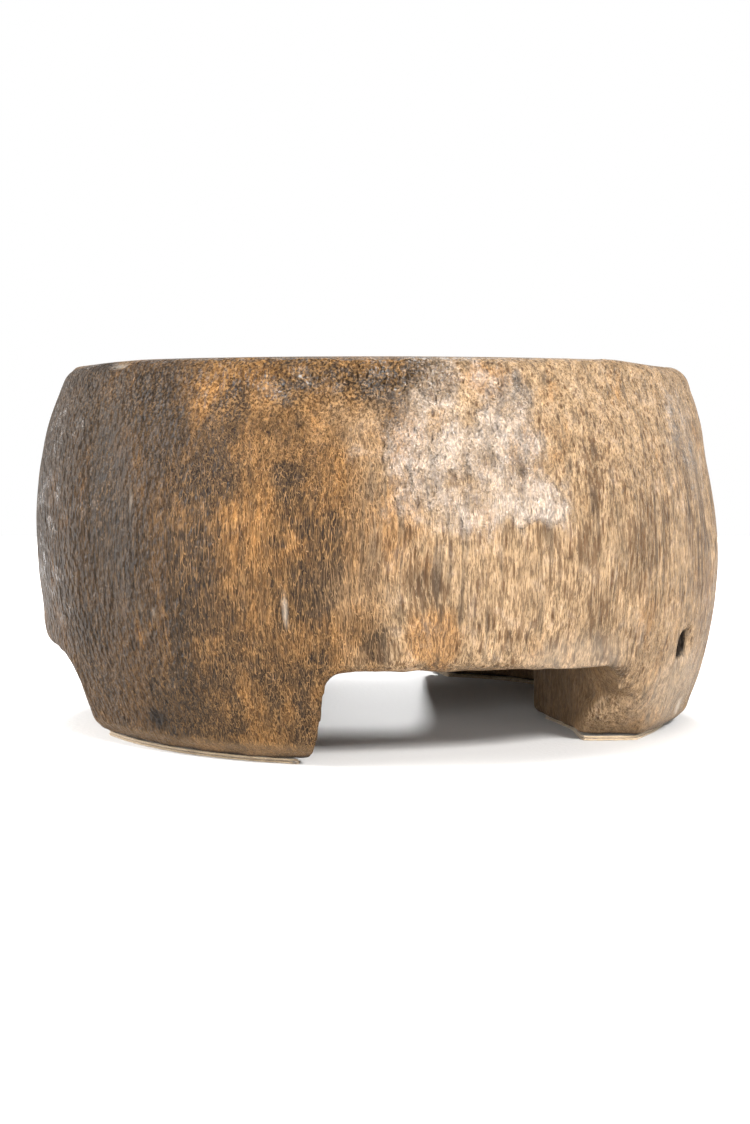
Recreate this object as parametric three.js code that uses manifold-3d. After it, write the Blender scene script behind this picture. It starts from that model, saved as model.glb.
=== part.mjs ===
// A deep, hand-carved palm-wood bowl on four feet: one hollowed log, with a felt pad glued under each foot.
// Units are millimetres and +Z is up. The origin is on the floor, under the middle of the bowl's outline.
// The widest gap between the feet is at the front, which faces -Y. An azimuth is measured from the front,
// in degrees, and grows towards +X, the right-hand side.

import * as THREE from 'three';
import { mergeVertices } from 'three/addons/utils/BufferGeometryUtils.js';
import Module from 'manifold-3d';

const wasm = await Module();
wasm.setup();

// The outside of the log
const BOWL_HEIGHT = 259;
const BELLY_RADIUS = 250;
const BELLY_HEIGHT = 135;
const RIM_RADIUS = 230;
const BASE_RADIUS = 225;
const DEPTH_RATIO = 0.985; // the log is slightly oval, a little less deep than it is wide
const LEAN = -0.02; // sideways drift of the log for each millimetre of height

// The rim and the inside
const RIM_WIDTH = 31;
const RIM_ROUND = 12;
const RIM_DRAFT = 2; // how far the rim's edge leans in over its rounding
const WALL_RADIUS = 213; // the hollow at its widest
const WALL_HEIGHT = 178; // where the hollow is widest
const FLOOR_HEIGHT = 96;
const FLOOR_RADIUS = 100; // the flat middle of the bowl's floor
const WALL_EASE = 60; // how far down from its widest the wall stays steep
const FLOOR_EASE = 60; // how far out from its flat middle the floor stays nearly flat

// The feet and their pads
const PAD_THICKNESS = 3;
const PAD_GAP = 0.3;
const PAD_INSET = 1.5; // the felt is cut this much smaller than the flat of the sole
const SOLE_HEIGHT = PAD_THICKNESS + PAD_GAP;
const BASE_CHAMFER = 7; // round the outside of the log
const SOLE_CHAMFER = 4; // along the sides of each foot
const CROWN_ROUND = 14; // easing where a gap meets the underside of the bowl

// What is cut away under the bowl. A gap runs along an azimuth. Its walls stand at these distances from that
// line, the wall at the lower azimuth first, at the sole and at the crown, where the underside starts.
const HOLLOW = { radius: 116, x: 35, y: 52, ceiling: 66 };
const GAPS = [
  { azimuth: 17, start: -300, sole: [99, 102], crown: [97, 102], ceiling: [62, 59] }, // right through
  { azimuth: -92, start: 0, sole: [45, 62], crown: [36, 52], ceiling: [60, 60] }, // left
  { azimuth: 106, start: 0, sole: [36, 34], crown: [28, 26], ceiling: [52, 50] }, // right
];

// Flats trimmed off a foot: a plane facing an azimuth, at a distance from the axis at the sole and higher up.
const FLATS = [
  { azimuth: -90, sole: 193, crown: 209, ceiling: 62, round: 22, from: -60, to: 160 }, // left end, front foot
  { azimuth: -11, sole: 86, crown: 110, ceiling: 36, round: 0, from: 130, to: 260 }, // corner, right foot
];

// A pad is what lies between the middles of the gaps on either side of its foot.
const FEET = [
  { name: 'foot_pad_front_left', from: -92, to: 17 },
  { name: 'foot_pad_front_right', from: 17, to: 106 },
  { name: 'foot_pad_rear_right', from: 106, to: 197 },
  { name: 'foot_pad_rear_left', from: 197, to: 268 },
];

const KNOT_HOLE = { azimuth: 60, height: 66, halfWidth: 8, halfHeight: 11, depth: 15 };

// How finely round things are divided
const ROUND_SEGMENTS = 72;
const CURVE_STEPS = 6;
const CORNER_STEPS = 4;
const KNOT_SIDES = 12;
const KNOT_RINGS = 8;

const REACH = 300; // past the outside of the bowl in every direction
const BELOW = -20; // under the floor
const PAD_CUT_TOP = SOLE_HEIGHT - PAD_GAP / 2; // pads are trimmed below this height, soles above it

const wood = new THREE.MeshStandardMaterial({ color: 0xa07a50, roughness: 0.55, metalness: 0 });
const felt = new THREE.MeshStandardMaterial({ color: 0xc9b08a, roughness: 0.95, metalness: 0 });

function toSolid(geometry) {
  geometry.deleteAttribute('normal');
  geometry.deleteAttribute('uv');
  const merged = mergeVertices(geometry);
  const corners = merged.index.array;
  const triangles = [];
  for (let i = 0; i < corners.length; i += 3) {
    const [a, b, c] = corners.slice(i, i + 3);
    const collapsed = a === b || b === c || c === a;
    if (!collapsed) triangles.push(a, b, c);
  }
  const vertProperties = new Float32Array(merged.attributes.position.array);
  const triVerts = new Uint32Array(triangles);
  return new wasm.Manifold(new wasm.Mesh({ numProp: 3, vertProperties, triVerts }));
}

function toMesh(solid, name, material) {
  const { vertProperties, triVerts } = solid.getMesh();
  const geometry = new THREE.BufferGeometry();
  geometry.setAttribute('position', new THREE.BufferAttribute(vertProperties, 3));
  geometry.setIndex(new THREE.BufferAttribute(triVerts, 1));
  geometry.computeVertexNormals();
  const mesh = new THREE.Mesh(geometry, material);
  mesh.name = name;
  return mesh;
}

function radians(degrees) {
  return THREE.MathUtils.degToRad(degrees);
}

function planPoint(radius, azimuth) {
  return new THREE.Vector2(radius * Math.sin(radians(azimuth)), -radius * Math.cos(radians(azimuth)));
}

function corner(x, y, round = 0) {
  return { point: new THREE.Vector2(x, y), round };
}

// A closed outline of straight edges; a corner with a round is eased off over that length on both sides.
function roundedShape(corners) {
  const shape = new THREE.Shape();
  corners.forEach(({ point, round }, i) => {
    const before = corners.at(i - 1).point;
    const after = corners[(i + 1) % corners.length].point;
    const start = point.clone().add(before.clone().sub(point).setLength(round));
    const end = point.clone().add(after.clone().sub(point).setLength(round));
    if (i === 0) shape.moveTo(start.x, start.y);
    else shape.lineTo(start.x, start.y);
    if (round > 0) shape.quadraticCurveTo(point.x, point.y, end.x, end.y);
  });
  shape.closePath();
  return shape;
}

// Turns a profile of (radius, height) about the vertical axis.
function turned(points) {
  return new THREE.LatheGeometry(points, ROUND_SEGMENTS).rotateX(Math.PI / 2);
}

// Gives something round the log's oval plan and its lean.
function grown(geometry) {
  const lean = new THREE.Matrix4().makeShear(0, 0, 0, 0, LEAN, 0);
  return geometry.scale(1, DEPTH_RATIO, 1).translate(0, 0, -BELLY_HEIGHT).applyMatrix4(lean)
    .translate(0, 0, BELLY_HEIGHT);
}

// The outline of the whole log, from the middle of its base round the outside and down into the hollow.
function bowlProfile() {
  const rimInner = RIM_RADIUS - RIM_WIDTH;
  const path = new THREE.Path();
  path.moveTo(0, SOLE_HEIGHT);
  path.lineTo(BASE_RADIUS - BASE_CHAMFER, SOLE_HEIGHT);
  path.lineTo(BASE_RADIUS, SOLE_HEIGHT + BASE_CHAMFER);
  path.quadraticCurveTo(BELLY_RADIUS, BELLY_HEIGHT / 2, BELLY_RADIUS, BELLY_HEIGHT);
  path.quadraticCurveTo(BELLY_RADIUS, (BELLY_HEIGHT + BOWL_HEIGHT) / 2, RIM_RADIUS, BOWL_HEIGHT - RIM_ROUND);
  path.quadraticCurveTo(RIM_RADIUS - RIM_DRAFT, BOWL_HEIGHT, RIM_RADIUS - RIM_ROUND, BOWL_HEIGHT);
  path.lineTo(rimInner + RIM_ROUND / 2, BOWL_HEIGHT);
  path.quadraticCurveTo(rimInner, BOWL_HEIGHT, rimInner, BOWL_HEIGHT - RIM_ROUND);
  path.quadraticCurveTo(WALL_RADIUS, BOWL_HEIGHT - 3 * RIM_ROUND, WALL_RADIUS, WALL_HEIGHT);
  const wallFoot = WALL_HEIGHT - WALL_EASE;
  const floorEdge = FLOOR_RADIUS + FLOOR_EASE;
  path.bezierCurveTo(WALL_RADIUS, wallFoot, floorEdge, FLOOR_HEIGHT, FLOOR_RADIUS, FLOOR_HEIGHT);
  path.lineTo(0, FLOOR_HEIGHT);
  return path.getPoints(CURVE_STEPS);
}

// The section of a gap between two feet: wider at the floor by the chamfer, eased under the bowl.
function gapSection({ sole: [near, far], crown: [crownNear, crownFar], ceiling: [ceilingNear, ceilingFar] }) {
  const flare = SOLE_CHAMFER + PAD_INSET;
  return roundedShape([
    corner(-near - flare, BELOW),
    corner(far + flare, BELOW),
    corner(far + flare, PAD_CUT_TOP),
    corner(far + SOLE_CHAMFER, PAD_CUT_TOP),
    corner(far, SOLE_HEIGHT + SOLE_CHAMFER),
    corner(crownFar, ceilingFar, CROWN_ROUND),
    corner(-crownNear, ceilingNear, CROWN_ROUND),
    corner(-near, SOLE_HEIGHT + SOLE_CHAMFER),
    corner(-near - SOLE_CHAMFER, PAD_CUT_TOP),
    corner(-near - flare, PAD_CUT_TOP),
  ]);
}

// A gap is cut along its azimuth, outwards from its start (a negative start is past the axis).
function gapCutter(gap) {
  const options = { depth: REACH - gap.start, bevelEnabled: false, curveSegments: CORNER_STEPS };
  const geometry = new THREE.ExtrudeGeometry(gapSection(gap), options);
  return toSolid(geometry.translate(0, 0, gap.start).rotateX(Math.PI / 2).rotateZ(radians(gap.azimuth)));
}

// A flat takes away what lies outside its plane, between two distances to the side of its azimuth.
function flatCutter({ azimuth, sole, crown, ceiling, round, from, to }) {
  const section = roundedShape([
    corner(sole - SOLE_CHAMFER - PAD_INSET, BELOW),
    corner(REACH, BELOW),
    corner(REACH, ceiling),
    corner(crown, ceiling, round),
    corner(sole, SOLE_HEIGHT + SOLE_CHAMFER),
    corner(sole - SOLE_CHAMFER, PAD_CUT_TOP),
    corner(sole - SOLE_CHAMFER - PAD_INSET, PAD_CUT_TOP),
  ]);
  const options = { depth: to - from, bevelEnabled: false, curveSegments: CORNER_STEPS };
  const geometry = new THREE.ExtrudeGeometry(section, options);
  geometry.translate(0, 0, -to).rotateX(Math.PI / 2);
  return toSolid(geometry.rotateZ(radians(azimuth - 90)));
}

function hollowCutter() {
  const { radius, x, y, ceiling } = HOLLOW;
  const path = new THREE.Path();
  path.moveTo(0, BELOW);
  path.lineTo(radius + SOLE_CHAMFER + PAD_INSET, BELOW);
  path.lineTo(radius + SOLE_CHAMFER + PAD_INSET, PAD_CUT_TOP);
  path.lineTo(radius + SOLE_CHAMFER, PAD_CUT_TOP);
  path.lineTo(radius, SOLE_HEIGHT + SOLE_CHAMFER);
  path.lineTo(radius, ceiling - CROWN_ROUND);
  path.quadraticCurveTo(radius, ceiling, radius - CROWN_ROUND, ceiling);
  path.lineTo(0, ceiling);
  return toSolid(turned(path.getPoints(CORNER_STEPS)).translate(x, y, 0));
}

// Everything that is cut away under the bowl, which leaves the four feet.
function underCutter() {
  const cutters = [...GAPS.map(gapCutter), ...FLATS.map(flatCutter)];
  return cutters.reduce((all, cutter) => all.add(cutter), hollowCutter());
}

function knotHole() {
  const { azimuth, height, halfWidth, halfHeight, depth } = KNOT_HOLE;
  const fall = ((BELLY_HEIGHT - height) / BELLY_HEIGHT) ** 2;
  const place = planPoint(BELLY_RADIUS - (BELLY_RADIUS - BASE_RADIUS) * fall, azimuth);
  const geometry = new THREE.SphereGeometry(1, KNOT_SIDES, KNOT_RINGS).rotateX(Math.PI / 2);
  geometry.scale(halfWidth, depth, halfHeight).rotateZ(radians(azimuth)).translate(place.x, place.y, height);
  return toSolid(grown(geometry));
}

function footPad({ from, to }, under) {
  const radius = BASE_RADIUS - BASE_CHAMFER - PAD_INSET;
  const outline = [corner(0, 0), corner(radius, 0), corner(radius, PAD_THICKNESS), corner(0, PAD_THICKNESS)];
  const disc = grown(turned(outline.map(({ point }) => point)));
  const sector = new THREE.Shape([from, (from + to) / 2, to].map((azimuth) => planPoint(2 * REACH, azimuth)));
  sector.lineTo(0, 0);
  const wedge = new THREE.ExtrudeGeometry(sector, { depth: 4 * PAD_THICKNESS, bevelEnabled: false });
  wedge.translate(0, 0, -PAD_THICKNESS);
  return toSolid(disc).intersect(toSolid(wedge)).subtract(under);
}

const under = underCutter();
const log = toSolid(grown(turned(bowlProfile())));
const bowl = new THREE.Group();
bowl.add(toMesh(log.subtract(under).subtract(knotHole()), 'bowl_body', wood));
for (const foot of FEET) {
  bowl.add(toMesh(footPad(foot, under), foot.name, felt.clone()));
}

const outline = new THREE.Box3().setFromObject(bowl);
const middle = outline.getCenter(new THREE.Vector3());
bowl.position.set(-middle.x, -middle.y, -outline.min.z);

export default bowl;
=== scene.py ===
"""The looks of a deep, hand-carved palm-wood bowl on four felt-padded feet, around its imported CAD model."""

import math
from itertools import product
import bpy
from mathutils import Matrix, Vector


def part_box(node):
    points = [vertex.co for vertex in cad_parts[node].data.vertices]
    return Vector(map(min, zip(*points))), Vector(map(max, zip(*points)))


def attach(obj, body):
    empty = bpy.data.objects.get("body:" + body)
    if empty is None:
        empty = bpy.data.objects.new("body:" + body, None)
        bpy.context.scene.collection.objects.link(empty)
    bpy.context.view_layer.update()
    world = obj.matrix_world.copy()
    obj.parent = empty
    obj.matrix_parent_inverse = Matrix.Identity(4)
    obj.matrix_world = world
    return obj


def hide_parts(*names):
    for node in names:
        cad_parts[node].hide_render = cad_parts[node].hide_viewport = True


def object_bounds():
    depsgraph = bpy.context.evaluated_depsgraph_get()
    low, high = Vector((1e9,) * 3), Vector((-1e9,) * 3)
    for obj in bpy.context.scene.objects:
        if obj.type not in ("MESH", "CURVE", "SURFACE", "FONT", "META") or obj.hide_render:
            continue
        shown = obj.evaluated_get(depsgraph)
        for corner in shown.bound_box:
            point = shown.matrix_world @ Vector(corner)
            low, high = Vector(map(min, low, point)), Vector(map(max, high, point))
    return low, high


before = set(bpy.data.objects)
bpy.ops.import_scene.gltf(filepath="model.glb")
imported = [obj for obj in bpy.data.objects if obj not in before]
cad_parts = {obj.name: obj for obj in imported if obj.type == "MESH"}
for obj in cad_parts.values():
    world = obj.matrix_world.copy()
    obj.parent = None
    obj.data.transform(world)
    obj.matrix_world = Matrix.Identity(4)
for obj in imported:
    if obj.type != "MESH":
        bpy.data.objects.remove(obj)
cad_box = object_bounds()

from types import SimpleNamespace

import bmesh
import bpy
import numpy as np
from mathutils import Vector

# The log's outside, in metres, as the CAD model has it
BELLY_RADIUS = (cad_box[1].x - cad_box[0].x) / 2
BOWL_HEIGHT = cad_box[1].z
BELLY_HEIGHT = 0.135
RIM_RADIUS = 0.230
BASE_RADIUS = 0.225
RIM_ROUND = 0.012
DEPTH_RATIO = 0.985
LEAN = -0.02
SOLE_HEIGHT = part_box("bowl_body")[0].z
FLOOR_HEIGHT = 0.096  # of the inside

# How finely the pieces are divided, and how much their edges are eased
BOWL_VOXEL = 0.0026
BOWL_TRIANGLES = 190000
PAD_VOXEL = 0.0011
OUTLINE_PASSES = 40
PAD_TRIM = 0.0045  # the felt is cut in a little from the sole's rounded edge
EDGE_PASSES = 4
WALL_PASSES = 120
CORNER_PASSES = 130
WALL_MOVE_KEPT = 0.0007  # a wall is smoothed freely where that moves it by less than this
WALL_MOVE_REFUSED = 0.0018

# The camera and the studio, in metres
CAMERA_DISTANCE = 1.307
CAMERA_HEIGHT = 0.219
CAMERA_LENS = 55.8
CAMERA_SHIFT = -0.063
AIM_HEIGHT = 0.1656
FLOOR_SIZE = 3.9

# Dark stains in the wood: azimuth and height of the middle, half width, half height (metres), strength
STAINS = [
    (-38, 0.234, 0.020, 0.016, 0.80),
    (-33, 0.205, 0.020, 0.022, 0.70),
    (-22, 0.226, 0.013, 0.017, 0.95),
    (-11, 0.238, 0.015, 0.011, 0.80),
    (-5, 0.247, 0.013, 0.006, 0.70),
    (3, 0.238, 0.022, 0.018, 0.70),
    (9, 0.244, 0.022, 0.012, 0.95),
    (-14, 0.219, 0.024, 0.011, 0.50),
    (-27, 0.178, 0.022, 0.020, 0.55),
    (-13, 0.186, 0.013, 0.009, 0.45),
    (-7, 0.140, 0.014, 0.030, 0.95),
    (-10, 0.118, 0.012, 0.018, 0.60),
    (-29, 0.128, 0.012, 0.030, 0.65),
    (-31, 0.092, 0.012, 0.022, 0.85),
    (-20, 0.096, 0.012, 0.020, 0.55),
    (-24, 0.060, 0.012, 0.026, 0.40),
    (7, 0.121, 0.012, 0.017, 0.75),
    (0, 0.083, 0.012, 0.013, 0.95),
    (-14, 0.052, 0.034, 0.030, 0.60),
    (-28, 0.035, 0.034, 0.028, 0.85),
    # partly painted shade: this dark strip lies in the hollow dented at the same place, as well as being
    # stained
    (-47, 0.160, 0.020, 0.055, 1.00),
    (-20, 0.088, 0.026, 0.020, 0.40),
    (-39, 0.024, 0.010, 0.007, 0.95),
    (22, 0.234, 0.012, 0.012, 0.50),
    (35, 0.188, 0.006, 0.026, 0.50),
    (46, 0.150, 0.009, 0.032, 0.45),
    (51, 0.142, 0.006, 0.026, 0.45),
    (60, 0.184, 0.008, 0.040, 0.50),
    (66, 0.160, 0.008, 0.060, 0.50),
    (63, 0.120, 0.010, 0.040, 0.50),
    (33, 0.142, 0.010, 0.016, 0.70),
    (44, 0.132, 0.020, 0.022, 0.55),
    (36, 0.092, 0.012, 0.022, 0.40),
    (25, 0.148, 0.012, 0.012, 0.40),
    (41, 0.052, 0.016, 0.008, 0.80),
    (30, 0.056, 0.030, 0.005, 0.45),
    (102, 0.150, 0.030, 0.050, 0.60),
    (138, 0.200, 0.040, 0.030, 0.70),
    (165, 0.110, 0.030, 0.040, 0.80),
    (196, 0.215, 0.040, 0.020, 0.60),
    (222, 0.130, 0.030, 0.060, 0.70),
    (250, 0.180, 0.030, 0.030, 0.60),
]

# The knot hole, painted dark inside as shade, the right foot's cut corner and where that swells out, written
# as the stains are
KNOT_HOLE = [(60, 0.067, 0.016, 0.011, 1.0)]
CUT_CORNER = [(42, 0.024, 0.034, 0.034, 1.0)]
SWOLLEN_CORNER = [(50, 0.0, 0.030, 0.034, 1.0)]
CORNER_SWELL = 0.011
CORNER_FACING = -20  # the azimuth it swells towards

# Clear orange wood, written as the stains are
WARM_PATCHES = [
    (8, 0.085, 0.016, 0.016, 1.00),
    (-25, 0.235, 0.018, 0.018, 0.80),
    (-17, 0.250, 0.020, 0.008, 0.70),
    (-15, 0.155, 0.040, 0.026, 0.40),
    (-19, 0.040, 0.045, 0.030, 0.12),
    (2, 0.160, 0.020, 0.030, 0.50),
    (4, 0.215, 0.020, 0.012, 0.60),
    (18, 0.245, 0.020, 0.008, 0.60),
    (180, 0.170, 0.040, 0.040, 0.60),
    (150, 0.080, 0.040, 0.030, 0.50),
]

# Small dead knots and pits, written as the stains are
DARK_SPOTS = [
    (-39, 0.024, 0.009, 0.006, 1.00),
    (22, 0.187, 0.003, 0.003, 0.80),
    (62, 0.152, 0.004, 0.003, 0.90),
    (-58, 0.120, 0.004, 0.005, 0.60),
    (118, 0.210, 0.006, 0.005, 0.90),
    (205, 0.070, 0.008, 0.007, 0.90),
]

# Pale nicks, scratches and scuffed patches, written as the stains are
NICKS = [
    (-13, 0.101, 0.0010, 0.009, 0.70),
    (-39, 0.168, 0.0020, 0.003, 0.70),
    (-38, 0.099, 0.0008, 0.002, 0.40),
    (-35, 0.095, 0.0008, 0.002, 0.40),
    (-48, 0.255, 0.0080, 0.002, 0.60),
    (66, 0.018, 0.0045, 0.006, 1.00),
    (62, 0.036, 0.0500, 0.030, 0.26),
    (32, 0.066, 0.0400, 0.014, 0.18),
    (59, 0.052, 0.0035, 0.007, 0.35),
]

# Corners that are rounded off far more than the rest, written as the stains are
SOFT_CORNERS = [
    (46, 0.044, 0.024, 0.013, 1.00),
    (54, 0.028, 0.013, 0.022, 1.00),
    (8, 0.058, 0.075, 0.009, 0.50),
    (-78, 0.259, 0.110, 0.014, 0.45),
    (75, 0.259, 0.090, 0.012, 0.55),
]

# Where the wax is thick enough to shine, and where a whitish painted sheen is laid into the wood's colour,
# written as the stains are
WAX_AND_SHEEN_PATCHES = [
    (7, 0.200, 0.034, 0.022, 0.75),
    (15, 0.200, 0.034, 0.026, 0.85),
    (22, 0.208, 0.016, 0.032, 0.80),
    (24, 0.162, 0.034, 0.014, 1.00),
    (12, 0.172, 0.034, 0.022, 0.65),
    (8, 0.241, 0.036, 0.016, 0.85),
    (-12, 0.241, 0.034, 0.010, 0.55),
    (-66, 0.180, 0.040, 0.090, 0.36),
    (63, 0.205, 0.034, 0.040, 0.45),
]

# Where the tool left the surface smoother, written as the stains are
SMOOTH_PATCHES = [
    (-46, 0.165, 0.024, 0.065, 1.00),
    (-43, 0.105, 0.012, 0.026, 0.80),
    (22, 0.120, 0.080, 0.050, 0.60),
    (40, 0.215, 0.020, 0.015, 0.80),
    (160, 0.150, 0.050, 0.060, 0.70),
    (210, 0.170, 0.040, 0.070, 0.60),
]

# Hollows in the outside, or swellings where the depth is negative: azimuth, height, half width, half height
# and depth
DENTS = [
    (-47, 0.160, 0.026, 0.070, 0.0026),
    (-85, 0.275, 0.110, 0.050, 0.0025),
    (-80, 0.060, 0.050, 0.022, -0.0015),
    (-48, 0.257, 0.012, 0.004, 0.0030),
    (82, 0.075, 0.110, 0.085, -0.0044),
    (85, 0.235, 0.080, 0.035, -0.0025),
    (75, 0.264, 0.070, 0.012, 0.0020),
    (60, 0.064, 0.012, 0.014, 0.0012),
    (58.5, 0.066, 0.0060, 0.008, 0.0060),
    (59, 0.048, 0.007, 0.010, 0.0022),
    (73, 0.015, 0.004, 0.005, 0.0012),
    (70, 0.190, 0.016, 0.060, 0.0014),
    (-13, 0.101, 0.0035, 0.012, 0.0006),
    (22, 0.187, 0.003, 0.003, 0.0010),
    (14, 0.150, 0.040, 0.030, -0.0008),
    (30, 0.262, 0.060, 0.006, 0.0010),
    (170, 0.130, 0.020, 0.080, 0.0018),
    (120, 0.180, 0.025, 0.050, 0.0014),
    (235, 0.120, 0.020, 0.060, 0.0016),
]

# The swells of the log's outside: how high they are, and how far apart along X, Y and Z
SWELLS = [
    (0.0011, (0.085, 0.085, 0.13)),
    (0.0006, (0.030, 0.030, 0.10)),
    (0.00035, (0.011, 0.011, 0.026)),
    (0.00018, (0.0065, 0.0065, 0.018)),
]
RIM_SWELL = (0.0003, (0.006, 0.006, 0.006))  # these only near the rim
ROUGH_SWELL = (0.0004, (0.009, 0.009, 0.02))  # and these inside the bowl and under it
SOLE_BEVEL = 0.0015

# The adze's marks inside the bowl and under it: depth, width, height
INNER_SCOOPS = (0.0036, 0.026, 0.038)
UNDER_SCOOPS = (0.0016, 0.022, 0.032)

# The felt's edge and face: how rough, and the size of the roughness
FRAY = (0.0009, (0.005, 0.005, 0.002))
FLUFF = (0.00015, (0.002, 0.002, 0.002))

# Where the wood's colour changes: from the first azimuth or height, where a change starts, to the second,
# where it is whole
# the taupe is partly greyer wood and partly painted shade, over the left and back-left, the side the key
# light does not reach
SHADED_TAUPE_FRONT = (-22, -42)
SHADED_TAUPE_BACK = (-178, -150)
BLOND_FRONT = (-12, 6)
BLOND_BACK = (176, 130)
RIM_BAND = (0.222, 0.246)
RIM_BAND_END = (30, 8)

# How far apart the features of each pattern in the wood are, and how far the grain's waves swing
DRIFT_SIZE = 0.006
DRIFT_SWING = 0.0022
STRAND_SIZE = 0.0018
FAINT_STRAND_SIZE = 0.0011
BEAD_SIZE = 0.0017
BUNDLE_SIZE = 0.0030
GROUND_SIZE = 0.0009
DASH_SIZE = 0.0021
CLUSTER_SIZE = 0.022
LUMP_SIZE = 0.0042
BLOTCH_SIZE = 0.014
MOTTLING_SIZE = 0.034
STREAK_SIZE = 0.005
BEADED_HEIGHTS = (0.190, 0.238)

# How deep the fibres and the leathery lumps are
FIBRE_RELIEF = 0.00055
LUMP_RELIEF = 0.0085

# The wood's colours, by the part of its fibre and by the kind of wood; the taupe ones are greyer wood made
# darker partly as painted shade
WOOD_COLOURS = {
    "pith": {
        "golden": (0.034, 0.0170, 0.0060),
        "blond": (0.105, 0.065, 0.034),
        "shaded_taupe": (0.012, 0.0075, 0.0045),
        "warm": (0.080, 0.032, 0.008),
        "stain": (0.007, 0.005, 0.0035),
    },
    "body": {
        "golden": (0.112, 0.056, 0.020),
        "blond": (0.262, 0.174, 0.096),
        "shaded_taupe": (0.039, 0.0228, 0.0118),
        "warm": (0.220, 0.104, 0.030),
        "stain": (0.020, 0.0125, 0.007),
    },
    "strand": {
        "golden": (0.225, 0.122, 0.045),
        "blond": (0.340, 0.236, 0.142),
        "shaded_taupe": (0.078, 0.048, 0.025),
        "warm": (0.360, 0.190, 0.066),
        "stain": (0.090, 0.051, 0.022),
    },
}
WARM_SHARES = {"pith": 0.6, "body": 0.7, "strand": 0.6}
STAIN_SHARES = {"pith": 0.9, "body": 0.85, "strand": 0.48}
PORE_COLOUR = (0.060, 0.028, 0.011)
DASH_COLOUR = (0.078, 0.042, 0.019)
STREAK_COLOUR = (0.036, 0.024, 0.016)
# painted sheen: a whitish colour laid over the waxed blond wood, standing in for the key light's reflection
PAINTED_SHEEN_COLOUR = (0.600, 0.510, 0.430)

# What lies over the wood, in this order: its mask, how well it covers, its colour; the last is painted shade
# where the sole meets the felt and inside the knot hole, with the real dark knots
TOP_COLOURS = [
    ("inner", 0.45, (0.135, 0.088, 0.050)),
    ("worn", 0.50, (0.160, 0.100, 0.052)),
    ("nicks", 0.80, (0.440, 0.375, 0.300)),
    ("painted_shade_and_dark_knots", 0.94, (0.008, 0.006, 0.005)),
]

# The felt's fibres, in their shade and in the light, the dust in them, and how thick a tuft of them is
FELT_DARK = (0.30, 0.215, 0.13)
FELT_PALE = (0.50, 0.39, 0.26)
FELT_DUST = (0.14, 0.095, 0.06)
TUFT_SIZE = 0.0006

# The floor: its colour close to the bowl, darker there as painted shade around it, and further out, and the
# distances between which it changes
FLOOR_NEAR_SHADED = (0.54, 0.53, 0.52)
FLOOR_FAR = (0.88, 0.87, 0.86)
FLOOR_CHANGE = (0.18, 0.80)

# How brightly the world lights the room in front of the bowl, and the backdrop behind it
ROOM_LIGHT = 0.20
BACKDROP_LIGHT = 0.60

# The lights: azimuth, elevation, distance, width and height, how bright the face is, and whether it lights
# only the floor
LIGHTS = {
    "overhead": (0, 89, 2.6, (2.0, 2.0), 6.0, False),
    "key": (30, 30, 2.2, (0.55, 0.36), 121.0, False),
    "low_front": (36, 3, 2.4, (1.2, 0.4), 10.0, False),
    "fill": (-34, 8, 2.6, (1.4, 0.9), 9.0, False),
    "floor_low": (-5, 7, 2.2, (1.2, 0.6), 12.0, True),
    "floor_front": (30, 32, 2.2, (0.45, 0.22), 60.0, True),
    "floor_left": (-62, 34, 2.2, (0.9, 0.9), 24.0, True),
    "through_rear_gap": (179, 7.3, 2.0, (0.12, 0.06), 1300.0, True),
    "rear_soft": (180, 40, 2.6, (1.6, 1.6), 4.0, False),
    "right_rear": (121, 10, 1.8, (0.35, 0.5), 9.0, False),
    "left_rear": (-102, 18, 1.8, (0.4, 0.8), 36.0, False),
}

# A soft patch is whole out to the first share of its half width, and gone at the second
PATCH_WHOLE = 0.4
PATCH_GONE = 1.5


def ease(low, high, value):
    """0 at low, 1 at high and smooth between, in whichever order the two are given."""
    share = np.clip((value - low) / (high - low), 0, 1)
    return share * share * (3 - 2 * share)


def hashed(cells, seed):
    """A fixed random value from -1 to 1 for each whole-number cell."""
    mixed = cells[:, 0] * 73856093 ^ cells[:, 1] * 19349663 ^ cells[:, 2] * 83492791 ^ seed * 40503
    mixed = (mixed ^ (mixed >> 13)) * 1274126177
    mixed = (mixed ^ (mixed >> 15)) * 668265263
    return ((mixed >> 7) & 0xFFFF) / 32767.5 - 1


def clouds(points, size, seed):
    """Smooth random values from about -1 to 1, whose swells are size (along X, Y and Z) apart."""
    scaled = points / np.asarray(size, float)
    base = np.floor(scaled).astype(np.int64)
    share = scaled - base
    share = share * share * (3 - 2 * share)
    total = np.zeros(len(points))
    for step in product((0, 1), repeat=3):
        weight = np.where(step, share, 1 - share).prod(axis=1)
        total += weight * hashed(base + step, seed)
    return total


def rough_clouds(points, size, seed, octaves=3):
    """Clouds with ever smaller and weaker ones laid over them."""
    size = np.asarray(size, float)
    return sum(clouds(points, size / 2**i, seed + i) / 2**i for i in range(octaves)) / 1.5


def scoops(across, up, width, height, seed):
    """0 in the middle of each tool mark and up to about 1 on the ridges between them."""
    scaled = np.stack([across / width, up / height], axis=1)
    base = np.floor(scaled).astype(np.int64)
    nearest = np.full(len(scaled), 9.0)
    for step in product((-1, 0, 1), repeat=2):
        cell = base + step
        key = np.column_stack([cell, np.zeros(len(cell), np.int64)])
        centre = cell + 0.5 + 0.35 * np.column_stack([hashed(key, seed), hashed(key, seed + 1)])
        nearest = np.minimum(nearest, np.linalg.norm(scaled - centre, axis=1))
    return nearest


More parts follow.
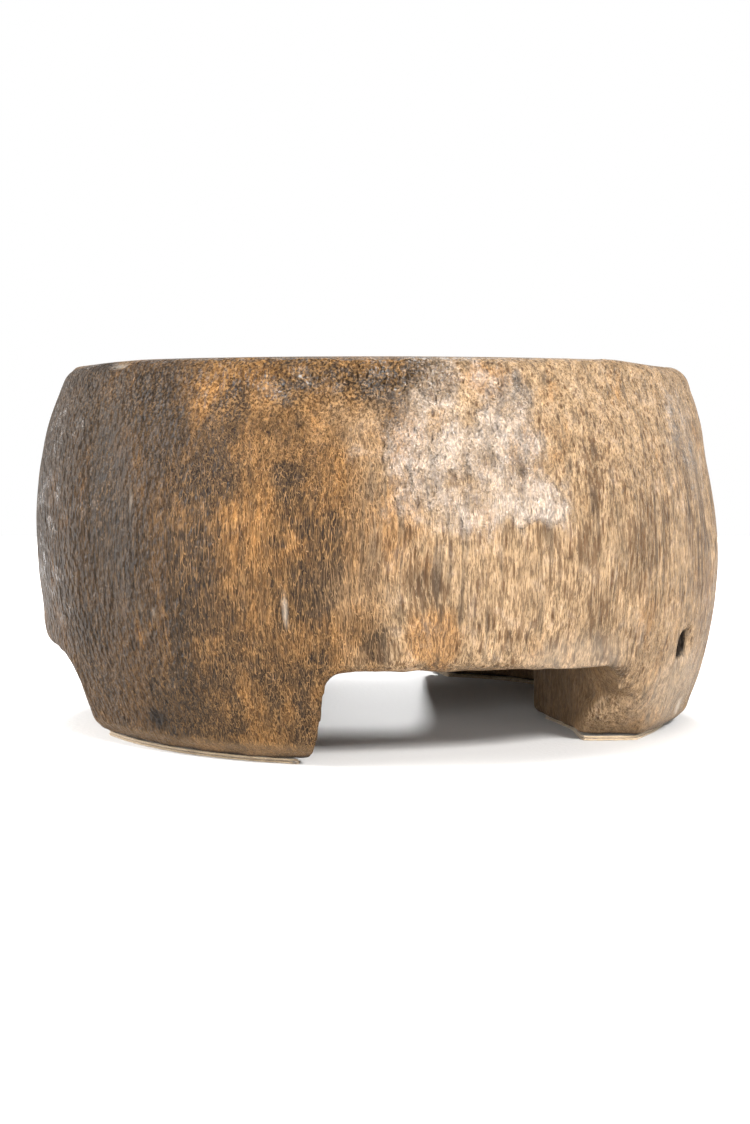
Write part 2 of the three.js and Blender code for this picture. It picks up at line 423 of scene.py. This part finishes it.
class Surface:
    """The vertices of a piece and where each one lies on the log."""

    def __init__(self, mesh):
        count = len(mesh.vertices)
        self.points = np.empty(count * 3, np.float32)
        mesh.vertices.foreach_get("co", self.points)
        self.points = self.points.reshape(-1, 3).astype(float)
        self.normals = np.empty(count * 3, np.float32)
        mesh.vertex_normals.foreach_get("vector", self.normals)
        self.normals = self.normals.reshape(-1, 3).astype(float)
        self.height = self.points[:, 2]
        x = self.points[:, 0] - LEAN * (self.height - BELLY_HEIGHT)
        y = self.points[:, 1] / DEPTH_RATIO
        self.radius = np.hypot(x, y)
        self.azimuth = np.degrees(np.arctan2(x, -y))
        self.depth = log_radius(self.height) - self.radius
        self.facing_out = (self.normals[:, 0] * x + self.normals[:, 1] * y) / self.radius

    def turn_from(self, azimuth):
        """Degrees round the log from an azimuth, from -180 to 180."""
        return (self.azimuth - azimuth + 180) % 360 - 180

    def spots(self, places, ragged=0.0):
        """How much of the listed soft patches each vertex has, from 0 to 1."""
        shift = ragged * rough_clouds(self.points, (0.014, 0.014, 0.022), 31)
        total = np.zeros(len(self.points))
        for azimuth, height, half_width, half_height, strength in places:
            across = np.radians(self.turn_from(azimuth)) * BELLY_RADIUS / half_width
            up = (self.height - height) / half_height
            away = np.hypot(across, up) + shift
            total = np.maximum(total, strength * ease(PATCH_GONE, PATCH_WHOLE, away))
        return total


def log_radius(height):
    """The log's outer radius at each height."""
    above = (height - BELLY_HEIGHT) / (BOWL_HEIGHT - RIM_ROUND - BELLY_HEIGHT)
    below = (BELLY_HEIGHT - height) / (BELLY_HEIGHT - SOLE_HEIGHT)
    rim_loss = (BELLY_RADIUS - RIM_RADIUS) * np.clip(above, 0, 1.1) ** 2
    base_loss = (BELLY_RADIUS - BASE_RADIUS) * np.clip(below, 0, 1) ** 2
    return BELLY_RADIUS - rim_loss - base_loss


def remeshed(node, name, voxel):
    """A new piece with a CAD node's shape, divided evenly."""
    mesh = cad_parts[node].data.copy()
    merged = bmesh.new()
    merged.from_mesh(mesh)
    bmesh.ops.remove_doubles(merged, verts=merged.verts, dist=1e-6)
    merged.to_mesh(mesh)
    merged.free()
    piece = bpy.data.objects.new(name, mesh)
    bpy.context.scene.collection.objects.link(piece)
    remesh = piece.modifiers.new("Remesh", "REMESH")
    remesh.mode = "VOXEL"
    remesh.voxel_size = voxel
    bpy.context.view_layer.update()
    shown = piece.evaluated_get(bpy.context.evaluated_depsgraph_get())
    even = bpy.data.meshes.new_from_object(shown)
    even.name = name
    piece.modifiers.clear()
    piece.data = even
    even.materials.clear()
    even.shade_smooth()
    return piece


def edge_ends(mesh):
    """The two vertex numbers of every edge."""
    ends = np.empty(len(mesh.edges) * 2, np.int32)
    mesh.edges.foreach_get("vertices", ends)
    return ends.reshape(-1, 2)


def thinned(piece, triangles):
    """Takes triangles out where the surface is plainest, until that many are left."""
    present = sum(len(face.vertices) - 2 for face in piece.data.polygons)
    fewer = piece.modifiers.new("Thin", "DECIMATE")
    fewer.ratio = min(1.0, triangles / present)
    bpy.context.view_layer.update()
    shown = piece.evaluated_get(bpy.context.evaluated_depsgraph_get())
    mesh = bpy.data.meshes.new_from_object(shown)
    piece.modifiers.clear()
    piece.data = mesh
    mesh.shade_smooth()


def relaxed(points, ends, passes, strength=0.5):
    """The points after each has moved towards its neighbours' middle that many times."""
    count = len(points)
    neighbours = np.bincount(ends.ravel(), minlength=count)[:, None]
    for _ in range(passes):
        sums = np.empty_like(points)
        for axis in range(3):
            values = points[:, axis]
            sums[:, axis] = np.bincount(ends[:, 0], values[ends[:, 1]], count)
            sums[:, axis] += np.bincount(ends[:, 1], values[ends[:, 0]], count)
        points = points + strength * (sums / neighbours - points)
    return points


def move_points(mesh, points):
    mesh.vertices.foreach_set("co", points.astype(np.float32).ravel())
    mesh.update()


def keep_values(mesh, name, values):
    """Keeps one number or one vector for each vertex, for a material to read."""
    kind, key = ("FLOAT", "value") if values.ndim == 1 else ("FLOAT_VECTOR", "vector")
    mesh.attributes.new(name, kind, "POINT").data.foreach_set(key, values.astype(np.float32).ravel())


def eased_points(mesh):
    """Rounds the edges a little, and takes the flats out of the walls without moving the edges further."""
    ends = edge_ends(mesh)
    surface = Surface(mesh)
    rounded = relaxed(surface.points, ends, EDGE_PASSES)
    softer = surface.spots(SOFT_CORNERS)[:, None]
    rounded += softer * (relaxed(rounded, ends, CORNER_PASSES) - rounded)
    flowing = relaxed(rounded, ends, WALL_PASSES)
    move = np.linalg.norm(flowing - rounded, axis=1)
    on_wall = ease(WALL_MOVE_REFUSED, WALL_MOVE_KEPT, move)
    on_wall = relaxed(on_wall[:, None].repeat(3, axis=1), ends, 4)
    return rounded + on_wall * (flowing - rounded)


def outside_share(surface):
    """1 on the log's outside and on the cut corner, 0 inside it and under it."""
    skin = ease(0.009, 0.004, surface.depth)
    corner = surface.spots(CUT_CORNER) * ease(0.1, 0.4, surface.facing_out)
    return np.maximum(skin, corner) * ease(0.0, 0.004, surface.height)


def inside_share(surface):
    """1 inside the bowl, 0 outside and under it."""
    above_floor = ease(FLOOR_HEIGHT - 0.012, FLOOR_HEIGHT - 0.006, surface.height)
    return above_floor * ease(0.016, 0.028, surface.depth)


def bowl_relief(surface):
    """How far out of the plain shape each vertex of the bowl lies."""
    points = surface.points
    outside = outside_share(surface)
    inside = inside_share(surface)
    under = np.clip(1 - outside - inside, 0, 1)
    under = under * ease(BOWL_HEIGHT - 0.004, BOWL_HEIGHT - 0.02, surface.height)
    relief = np.zeros(len(points))
    for seed, (amount, size) in enumerate(SWELLS, start=1):
        relief += outside * amount * clouds(points, size, seed)
    amount, size = RIM_SWELL
    relief += ease(0.225, 0.25, surface.height) * outside * amount * clouds(points, size, 5)
    relief -= outside * SOLE_BEVEL * ease(0.011, 0.0, surface.height - SOLE_HEIGHT)
    for azimuth, height, half_width, half_height, depth in DENTS:
        relief -= outside * depth * surface.spots([(azimuth, height, half_width, half_height, 1.0)])
    round_wall = np.radians(surface.azimuth) * 0.2
    up_wall = surface.height + 0.6 * np.clip(0.19 - surface.radius, 0, 1)
    depth, width, height = INNER_SCOOPS
    relief += inside * depth * (scoops(round_wall, up_wall, width, height, 6) - 0.5)
    depth, width, height = UNDER_SCOOPS
    relief += under * depth * (scoops(points[:, 0], points[:, 1], width, height, 8) - 0.5)
    amount, size = ROUGH_SWELL
    relief += (inside + under) * amount * clouds(points, size, 9)
    return relief


def corner_swell(surface):
    """How the cut corner of the right foot swells into a softer curve: full strength is 1 long."""
    turn = math.radians(CORNER_FACING)
    direction = np.array([math.sin(turn), -math.cos(turn), 0.0])
    return surface.spots(SWOLLEN_CORNER)[:, None] * direction


def grain_place(surface):
    """Where each vertex is in the grain: the height counts for less, so that the fibres run up the log."""
    points = surface.points
    curl = 0.0015 + 0.003 * ease(0.19, 0.25, surface.height)
    x = points[:, 0] + curl * clouds(points, (0.03, 0.03, 0.03), 11)
    y = points[:, 1] + curl * clouds(points, (0.03, 0.03, 0.03), 12)
    shortening = np.clip(surface.height - 0.15, 0, 1) ** 2 * 2.2
    z = surface.height / 7.5 + shortening
    return np.column_stack([x, y, z])


def bowl_tints(surface):
    """The masks that the wood's material colours by, each from 0 to 1."""
    points = surface.points
    wander = 9 * rough_clouds(points, (0.04, 0.04, 0.07), 21)
    wander += 5 * clouds(points, (0.012, 0.012, 0.03), 25)
    azimuth = (surface.azimuth + wander + 180) % 360 - 180
    # partly painted shade: the taupe darkens the bowl's left and back-left, away from the key light, less so
    # low down
    shaded_taupe = ease(*SHADED_TAUPE_FRONT, azimuth) * ease(*SHADED_TAUPE_BACK, azimuth)
    shaded_taupe *= 0.6 + 0.4 * ease(0.03, 0.11, surface.height)
    rim_band = ease(*RIM_BAND, surface.height + 0.008 * clouds(points, (0.03,) * 3, 22))
    blond = ease(*BLOND_FRONT, azimuth - 12 * rim_band) * ease(*BLOND_BACK, azimuth)
    rim_band = rim_band * ease(*RIM_BAND_END, azimuth)
    outside = outside_share(surface)
    shaded_taupe *= 0.35 + 0.65 * outside
    blond = 0.3 + (blond - 0.3) * (0.3 + 0.7 * outside)
    sole_edge = surface.height - SOLE_HEIGHT + 0.0015 * clouds(points, (0.01,) * 3, 24)
    # painted shade: near-black inside the knot hole, where the surface lies deep
    knot_hole_shade = ease(0.3, 0.6, surface.spots(KNOT_HOLE)) * ease(0.0004, 0.0026, surface.depth)
    dark_spots = 0.8 * surface.spots(DARK_SPOTS, ragged=0.4)
    return {
        "shaded_taupe": shaded_taupe,
        "blond": blond,
        "stain": surface.spots(STAINS, ragged=0.6) * outside,
        "warm": surface.spots(WARM_PATCHES, ragged=0.6),
        "wax_and_sheen": surface.spots(WAX_AND_SHEEN_PATCHES, ragged=0.9) * outside,
        "rim_band": rim_band * outside,
        "smooth": surface.spots(SMOOTH_PATCHES, ragged=0.4) * outside,
        "nicks": surface.spots(NICKS, ragged=0.3) * outside,
        "worn": ease(0.012, 0.008, sole_edge) * outside,
        # painted shade along the sole's edge above the felt and inside the knot hole, together with the dark
        # knots
        "painted_shade_and_dark_knots": np.maximum.reduce([ease(0.0035, 0.0008, sole_edge), knot_hole_shade, dark_spots]),
        "inner": 1 - outside,
    }


def make_bowl(finish):
    bowl = remeshed("bowl_body", "carved_bowl", BOWL_VOXEL)
    mesh = bowl.data
    move_points(mesh, eased_points(mesh))
    surface = Surface(mesh)
    relief = surface.normals * bowl_relief(surface)[:, None]
    move_points(mesh, surface.points + relief + CORNER_SWELL * corner_swell(surface))
    thinned(bowl, BOWL_TRIANGLES)
    mesh = bowl.data
    surface = Surface(mesh)
    keep_values(mesh, "grain", grain_place(surface))
    for name, values in bowl_tints(surface).items():
        keep_values(mesh, name, values)
    mesh.materials.append(finish)
    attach(bowl, "root")
    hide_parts("bowl_body")
    return bowl


def make_pad(node, seed, finish):
    pad = remeshed(node, node + "_felt", PAD_VOXEL)
    mesh = pad.data
    points = Surface(mesh).points
    points[:, :2] = relaxed(points, edge_ends(mesh), OUTLINE_PASSES)[:, :2]
    move_points(mesh, points)
    surface = Surface(mesh)
    sideways = 1 - np.abs(surface.normals[:, 2])
    amount, size = FRAY
    fray = amount * rough_clouds(points, size, seed) - PAD_TRIM
    amount, size = FLUFF
    fluff = amount * clouds(points, size, seed + 5)
    swell = (CORNER_SWELL + PAD_TRIM) * corner_swell(surface)
    points = points + surface.normals * (sideways * fray + fluff)[:, None] + swell
    points[:, 2] = np.maximum(points[:, 2], 0)
    move_points(mesh, points)
    mesh.materials.append(finish)
    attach(pad, "root")
    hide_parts(node)
    return pad


class Finish:
    """A material's node tree. Each call adds one node and gives the socket that comes out of it."""

    def __init__(self, name):
        self.material = bpy.data.materials.new(name)
        self.material.use_nodes = True
        self.nodes = self.material.node_tree.nodes
        self.links = self.material.node_tree.links
        self.shader = self.nodes["Principled BSDF"]

    def feed(self, socket, value):
        if isinstance(value, bpy.types.NodeSocket):
            self.links.new(value, socket)
        else:
            socket.default_value = value

    def set(self, name, value):
        """Gives one of the shader's own sockets a value or something to follow."""
        self.feed(self.shader.inputs[name], value)

    def kept(self, name, output="Fac"):
        """A value kept on the mesh under that name."""
        node = self.nodes.new("ShaderNodeAttribute")
        node.attribute_name = name
        return node.outputs[output]

    def noise(self, place, size, detail=2.0, roughness=0.5, output="Fac"):
        node = self.nodes.new("ShaderNodeTexNoise")
        self.feed(node.inputs["Vector"], place)
        node.inputs["Scale"].default_value = 1 / size
        node.inputs["Detail"].default_value = detail
        node.inputs["Roughness"].default_value = roughness
        return node.outputs[output]

    def tall_noise(self, place, rise, size, detail, roughness=0.5):
        """Noise whose swells are taller than wide: the height counts for only that share."""
        return self.noise(self.vectors("MULTIPLY", place, (1.0, 1.0, rise)), size, detail, roughness)

    def cells(self, place, size, output="Distance"):
        node = self.nodes.new("ShaderNodeTexVoronoi")
        self.feed(node.inputs["Vector"], place)
        node.inputs["Scale"].default_value = 1 / size
        return node.outputs[output]

    def ridges(self, place, size, width):
        """1 on thin lines that wander and meet, and 0 between them."""
        away = self.maths("ABSOLUTE", self.maths("SUBTRACT", self.noise(place, size, detail=1.0), 0.5))
        return self.ramp(away, 0.0, width, 1.0, 0.0)

    def ramp(self, value, low, high, start=0.0, end=1.0):
        """start where the value is at low or less, end at high or more, and smooth between."""
        node = self.nodes.new("ShaderNodeMapRange")
        node.interpolation_type = "SMOOTHSTEP"
        for name, given in (("Value", value), ("From Min", low), ("From Max", high)):
            self.feed(node.inputs[name], given)
        self.feed(node.inputs["To Min"], start)
        self.feed(node.inputs["To Max"], end)
        return node.outputs["Result"]

    def maths(self, operation, a, b=0.0):
        node = self.nodes.new("ShaderNodeMath")
        node.operation = operation
        self.feed(node.inputs[0], a)
        self.feed(node.inputs[1], b)
        return node.outputs[0]

    def plus(self, a, b):
        return self.maths("ADD", a, b)

    def times(self, a, b):
        return self.maths("MULTIPLY", a, b)

    def vectors(self, operation, a, b, c=(0.0, 0.0, 0.0)):
        node = self.nodes.new("ShaderNodeVectorMath")
        node.operation = operation
        for socket, given in zip(node.inputs, (a, b, c)):
            self.feed(socket, given)
        return node.outputs[0]

    def mix(self, share, a, b):
        """Colour a with that share of colour b."""
        node = self.nodes.new("ShaderNodeMix")
        node.data_type = "RGBA"
        colour = {0: share, 6: a, 7: b}
        for number, given in colour.items():
            if isinstance(given, tuple) and len(given) == 3:
                given = (*given, 1.0)
            self.feed(node.inputs[number], given)
        return node.outputs[2]

    def shade(self, colour, value):
        """A colour made lighter or darker by a number."""
        node = self.nodes.new("ShaderNodeVectorMath")
        node.operation = "SCALE"
        self.feed(node.inputs[0], colour)
        self.feed(node.inputs["Scale"], value)
        return node.outputs[0]

    def bump(self, height, distance, strength=1.0, over=None):
        node = self.nodes.new("ShaderNodeBump")
        node.inputs["Filter Width"].default_value = 1.0
        node.inputs["Distance"].default_value = distance
        node.inputs["Strength"].default_value = strength
        self.feed(node.inputs["Height"], height)
        if over is not None:
            self.feed(node.inputs["Normal"], over)
        return node.outputs[0]


def wood_strands(wood, grain, wavy, plain, beaded):
    """Thin wandering fibres, which turn into small beads near the rim."""
    faint = wood.times(wood.ridges(grain, FAINT_STRAND_SIZE, 0.045), 0.6)
    strands = wood.maths("MAXIMUM", wood.ridges(wavy, STRAND_SIZE, 0.050), faint)
    beads = wood.ramp(wood.noise(plain, BEAD_SIZE, detail=2.0, roughness=0.6), 0.46, 0.60)
    return wood.ramp(beaded, 0.0, 1.0, strands, beads)


def wood_pores(wood, wavy):
    """The dark ends of some of the fibre bundles."""
    chosen = wood.ramp(wood.cells(wavy, BUNDLE_SIZE, "Color"), 0.48, 0.54)
    return wood.times(chosen, wood.ramp(wood.cells(wavy, BUNDLE_SIZE), 0.20, 0.42, 1.0, 0.0))


def wood_dashes(wood, wavy, plain, beaded):
    """Short dark dashes along the grain, thickest in clusters and where the wood is stained."""
    clusters = wood.tall_noise(plain, 0.4, CLUSTER_SIZE, detail=3.0, roughness=0.6)
    clusters = wood.plus(clusters, wood.times(wood.kept("stain"), 0.5))
    dashes = wood.ramp(wood.noise(wavy, DASH_SIZE, detail=1.5), 0.50, 0.58)
    dashes = wood.times(dashes, wood.ramp(clusters, 0.46, 0.62, 0.10, 1.0))
    return wood.times(dashes, wood.ramp(beaded, 0.0, 1.0, 1.0, 0.4))


def wood_patterns(wood):
    """All the patterns that the wood is drawn with, fine and coarse."""
    grain = wood.kept("grain", "Vector")
    plain = wood.nodes.new("ShaderNodeTexCoord").outputs["Object"]
    drift = wood.noise(grain, DRIFT_SIZE, detail=2.0, output="Color")
    wavy = wood.vectors("MULTIPLY_ADD", drift, (DRIFT_SWING, DRIFT_SWING, 0.0), grain)
    place = wood.nodes.new("ShaderNodeSeparateXYZ")
    wood.feed(place.inputs[0], plain)
    beaded = wood.ramp(place.outputs["Z"], *BEADED_HEIGHTS, 0.0, 0.75)
    return SimpleNamespace(
        strands=wood_strands(wood, grain, wavy, plain, beaded),
        pores=wood_pores(wood, wavy),
        dashes=wood_dashes(wood, wavy, plain, beaded),
        ground=wood.ramp(wood.noise(wavy, GROUND_SIZE, detail=2.0, roughness=0.7), 0.42, 0.58),
        bundles=wood.noise(wavy, BUNDLE_SIZE, detail=2.0),
        lumps=wood.tall_noise(plain, 0.75, LUMP_SIZE, detail=1.0),
        blotches=wood.noise(plain, BLOTCH_SIZE, detail=5.0, roughness=0.68),
        mottling=wood.tall_noise(plain, 0.55, MOTTLING_SIZE, detail=6.0, roughness=0.64),
        long_streaks=wood.tall_noise(grain, 0.35, STREAK_SIZE, detail=4.0, roughness=0.6),
    )


def wood_kinds(wood, pattern):
    """How blond, taupe (partly painted shade), warm, stained and waxed (with painted sheen) the wood is: the
    mesh's masks, broken up by the patterns.
    """
    blond = wood.kept("blond")
    warm = wood.plus(wood.kept("warm"), wood.ramp(pattern.mottling, 0.52, 0.72, 0.0, 0.6))
    warm = wood.plus(warm, wood.ramp(pattern.long_streaks, 0.45, 0.65, 0.25, -0.10))
    mottled = wood.ramp(pattern.mottling, 0.36, 0.60, 0.60, -0.25)
    mottled = wood.times(mottled, wood.ramp(blond, 0.0, 1.0, 1.0, 0.20))
    stain = wood.plus(wood.kept("stain"), mottled)
    stain = wood.plus(stain, wood.ramp(pattern.blotches, 0.32, 0.68, -0.28, 0.28))
    wax_and_sheen = wood.plus(wood.kept("wax_and_sheen"), wood.ramp(pattern.blotches, 0.3, 0.7, -0.35, 0.35))
    return SimpleNamespace(
        blond=blond,
        shaded_taupe=wood.kept("shaded_taupe"),
        warm=wood.ramp(warm, 0.1, 1.0),
        stain=wood.times(wood.ramp(stain, 0.05, 0.75), wood.ramp(blond, 0.3, 1.0, 1.0, 0.60)),
        wax_and_sheen=wood.ramp(wax_and_sheen, 0.0, 1.15),
    )


def fibre_colour(wood, part, kind):
    """The colour of the pith, the body or the strands, whatever kind of wood is there."""
    colours = WOOD_COLOURS[part]
    colour = wood.mix(kind.blond, colours["golden"], colours["blond"])
    colour = wood.mix(kind.shaded_taupe, colour, colours["shaded_taupe"])
    colour = wood.mix(wood.times(kind.warm, WARM_SHARES[part]), colour, colours["warm"])
    return wood.mix(wood.times(kind.stain, STAIN_SHARES[part]), colour, colours["stain"])


def fibres_together(wood, pattern, kind):
    """The pith and body with the strands, pores, dashes and streaks drawn over them."""
    pith = fibre_colour(wood, "pith", kind)
    colour = wood.mix(pattern.ground, pith, fibre_colour(wood, "body", kind))
    strand_share = wood.times(pattern.strands, wood.ramp(kind.blond, 0.2, 1.0, 0.85, 0.55))
    colour = wood.mix(strand_share, colour, fibre_colour(wood, "strand", kind))
    pore_share = wood.times(pattern.pores, wood.ramp(kind.blond, 0.0, 1.0, 0.55, 0.85))
    colour = wood.mix(pore_share, colour, wood.mix(kind.blond, pith, PORE_COLOUR))
    colour = wood.shade(colour, wood.ramp(pattern.bundles, 0.3, 0.7, 0.80, 1.18))
    dash_share = wood.times(pattern.dashes, wood.times(kind.blond, 0.80))
    colour = wood.mix(dash_share, colour, DASH_COLOUR)
    streaks = wood.ramp(pattern.long_streaks, 0.50, 0.68)
    streak_share = wood.times(streaks, wood.ramp(kind.blond, 0.0, 1.0, 0.20, 0.62))
    colour = wood.mix(streak_share, colour, STREAK_COLOUR)
    return wood.shade(colour, wood.ramp(pattern.blotches, 0.3, 0.7, 0.76, 1.24))


def set_wood_colour(wood, pattern, kind):
    """The fibres under a whitish painted sheen where the wax is, then what the bowl's use has left on them
    and the painted shade at the soles and in the knot hole.
    """
    # painted sheen: whitish where the wax lies on blond wood, most on the raised strands, none where it is
    # stained
    painted_sheen = wood.times(wood.times(kind.wax_and_sheen, kind.blond), wood.ramp(pattern.strands, 0.0, 1.0, 0.26, 0.46))
    painted_sheen = wood.times(painted_sheen, wood.ramp(kind.stain, 0.1, 0.8, 1.0, 0.0))
    colour = wood.mix(painted_sheen, fibres_together(wood, pattern, kind), PAINTED_SHEEN_COLOUR)
    for mask, share, top_colour in TOP_COLOURS:
        colour = wood.mix(wood.times(wood.kept(mask), share), colour, top_colour)
    wood.set("Base Color", colour)


def set_wood_gloss(wood, pattern, kind):
    wood.set("Coat Weight", wood.ramp(kind.wax_and_sheen, 0.0, 1.0, 0.06, 1.0))
    wood.set("Coat Roughness", 0.15)
    wood.set("Specular IOR Level", 0.08)
    roughness = wood.ramp(pattern.blotches, 0.35, 0.65, 0.42, 0.58)
    roughness = wood.plus(roughness, wood.ramp(pattern.strands, 0.0, 1.0, 0.10, 0.0))
    roughness = wood.plus(roughness, wood.times(wood.kept("inner"), 0.22))
    wood.set("Roughness", roughness)


def set_wood_relief(wood, pattern, kind):
    """Raised fibres and sunk pores everywhere, and leathery lumps where the wood is dark or waxed."""
    height = wood.plus(pattern.strands, wood.times(pattern.bundles, 2.0))
    height = wood.maths("SUBTRACT", height, wood.times(pattern.pores, 0.8))
    fine = wood.bump(height, FIBRE_RELIEF, 0.70)
    at_rim = wood.times(wood.kept("rim_band"), 1.5)
    leathery = wood.maths("MAXIMUM", wood.ramp(kind.shaded_taupe, 0.0, 1.0, 0.25, 1.0), at_rim)
    leathery = wood.maths("MAXIMUM", leathery, wood.times(kind.wax_and_sheen, 1.3))
    leathery = wood.times(leathery, wood.ramp(wood.kept("smooth"), 0.0, 1.0, 1.0, 0.30))
    relief = wood.bump(wood.times(pattern.lumps, leathery), LUMP_RELIEF, 1.0, over=fine)
    wood.set("Normal", relief)
    wood.set("Coat Normal", relief)


def wood_finish():
    """Waxed palm wood: pale, wavy strands over a darker, finely flecked ground, stained in patches."""
    wood = Finish("waxed palm wood")
    pattern = wood_patterns(wood)
    kind = wood_kinds(wood, pattern)
    set_wood_colour(wood, pattern, kind)
    set_wood_gloss(wood, pattern, kind)
    set_wood_relief(wood, pattern, kind)
    return wood.material


def felt_finish():
    """Pressed beige felt: matted fibres, a little dusty."""
    felt = Finish("pressed felt")
    plain = felt.nodes.new("ShaderNodeTexCoord").outputs["Object"]
    drift = felt.noise(plain, 0.003, detail=2.0, output="Color")
    matted = felt.vectors("MULTIPLY_ADD", drift, (0.006, 0.006, 0.006), plain)
    fibres = felt.noise(matted, TUFT_SIZE, detail=3.0, roughness=0.65)
    dust = felt.noise(plain, 0.009, detail=3.0)
    colour = felt.mix(felt.ramp(fibres, 0.3, 0.7), FELT_DARK, FELT_PALE)
    colour = felt.mix(felt.ramp(dust, 0.5, 0.75, 0.0, 0.45), colour, FELT_DUST)
    felt.set("Base Color", colour)
    felt.set("Roughness", 0.95)
    felt.set("Sheen Weight", 0.3)
    felt.set("Normal", felt.bump(fibres, 0.0004, 0.8))
    return felt.material


def floor_finish():
    """Pale and matt, darker close to the bowl as painted shade around it."""
    floor = Finish("studio floor")
    plain = floor.nodes.new("ShaderNodeTexCoord").outputs["Object"]
    distance = floor.nodes.new("ShaderNodeVectorMath")
    distance.operation = "LENGTH"
    floor.feed(distance.inputs[0], plain)
    unshaded = floor.ramp(distance.outputs["Value"], *FLOOR_CHANGE)
    floor.set("Base Color", floor.mix(unshaded, FLOOR_NEAR_SHADED, FLOOR_FAR))
    floor.set("Roughness", 0.7)
    floor.set("Normal", floor.bump(floor.noise(plain, 0.0035, detail=2.0), 0.0006, 0.5))
    return floor.material


def make_floor():
    mesh = bpy.data.meshes.new("studio_floor")
    half = FLOOR_SIZE / 2
    corners = [(-half, -half, 0), (half, -half, 0), (half, half, 0), (-half, half, 0)]
    mesh.from_pydata(corners, [], [(0, 1, 2, 3)])
    mesh.materials.append(floor_finish())
    floor = bpy.data.objects.new("studio_floor", mesh)
    bpy.context.scene.collection.objects.link(floor)
    floor.location.z = -0.0002
    return floor


def make_light(name, azimuth, elevation, distance, size, radiance):
    """A rectangular soft light that faces the bowl; radiance is how bright its face is."""
    light = bpy.data.lights.new(name, "AREA")
    light.shape = "RECTANGLE"
    light.size, light.size_y = size
    light.energy = radiance * math.pi * size[0] * size[1]
    lamp = bpy.data.objects.new(name, light)
    bpy.context.scene.collection.objects.link(lamp)
    round_, up = math.radians(azimuth), math.radians(elevation)
    aim = Vector((0, 0, BOWL_HEIGHT / 2))
    away = Vector((math.sin(round_) * math.cos(up), -math.cos(round_) * math.cos(up), math.sin(up)))
    lamp.location = aim + distance * away
    lamp.rotation_euler = away.to_track_quat("Z", "Y").to_euler()
    return lamp


def light_only(lamp, piece):
    """Makes a lamp light one thing and nothing else."""
    lit = bpy.data.collections.new(lamp.name + "_lights")
    lit.objects.link(piece)
    lamp.light_linking.receiver_collection = lit


def make_world():
    """White to look at; as light, a pale backdrop behind the bowl and a dimmer room in front of it."""
    world = bpy.data.worlds.new("studio")
    bpy.context.scene.world = world
    world.use_nodes = True
    nodes, links = world.node_tree.nodes, world.node_tree.links
    split = nodes.new("ShaderNodeSeparateXYZ")
    links.new(nodes.new("ShaderNodeTexCoord").outputs["Generated"], split.inputs[0])
    backdrop = nodes.new("ShaderNodeMapRange")
    backdrop.inputs["From Min"].default_value = -0.2
    backdrop.inputs["From Max"].default_value = 0.5
    backdrop.inputs["To Min"].default_value = ROOM_LIGHT
    backdrop.inputs["To Max"].default_value = BACKDROP_LIGHT
    links.new(split.outputs["Y"], backdrop.inputs["Value"])
    seen = nodes.new("ShaderNodeLightPath").outputs["Is Camera Ray"]
    brightness = nodes.new("ShaderNodeMix")
    links.new(seen, brightness.inputs[0])
    links.new(backdrop.outputs[0], brightness.inputs[2])
    brightness.inputs[3].default_value = 1.0
    links.new(brightness.outputs[0], nodes["Background"].inputs["Strength"])
    nodes["Background"].inputs["Color"].default_value = (1.0, 1.0, 1.0, 1.0)


def make_camera():
    lens = bpy.data.cameras.new("camera")
    lens.lens = CAMERA_LENS
    lens.shift_y = CAMERA_SHIFT
    camera = bpy.data.objects.new("camera", lens)
    bpy.context.scene.collection.objects.link(camera)
    camera.location = (0, -CAMERA_DISTANCE, CAMERA_HEIGHT)
    view = Vector((0, 0, AIM_HEIGHT)) - camera.location
    camera.rotation_euler = view.to_track_quat("-Z", "Y").to_euler()
    bpy.context.scene.camera = camera


def make_studio():
    make_camera()
    make_world()
    floor = make_floor()
    for name, (*setting, floor_only) in LIGHTS.items():
        lamp = make_light(name, *setting)
        if floor_only:
            light_only(lamp, floor)
    bpy.context.scene.view_settings.view_transform = "Standard"


make_studio()
make_bowl(wood_finish())
felt = felt_finish()
for seed, pad_name in enumerate(sorted(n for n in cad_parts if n.startswith("foot_pad"))):
    make_pad(pad_name, 40 + 10 * seed, felt)
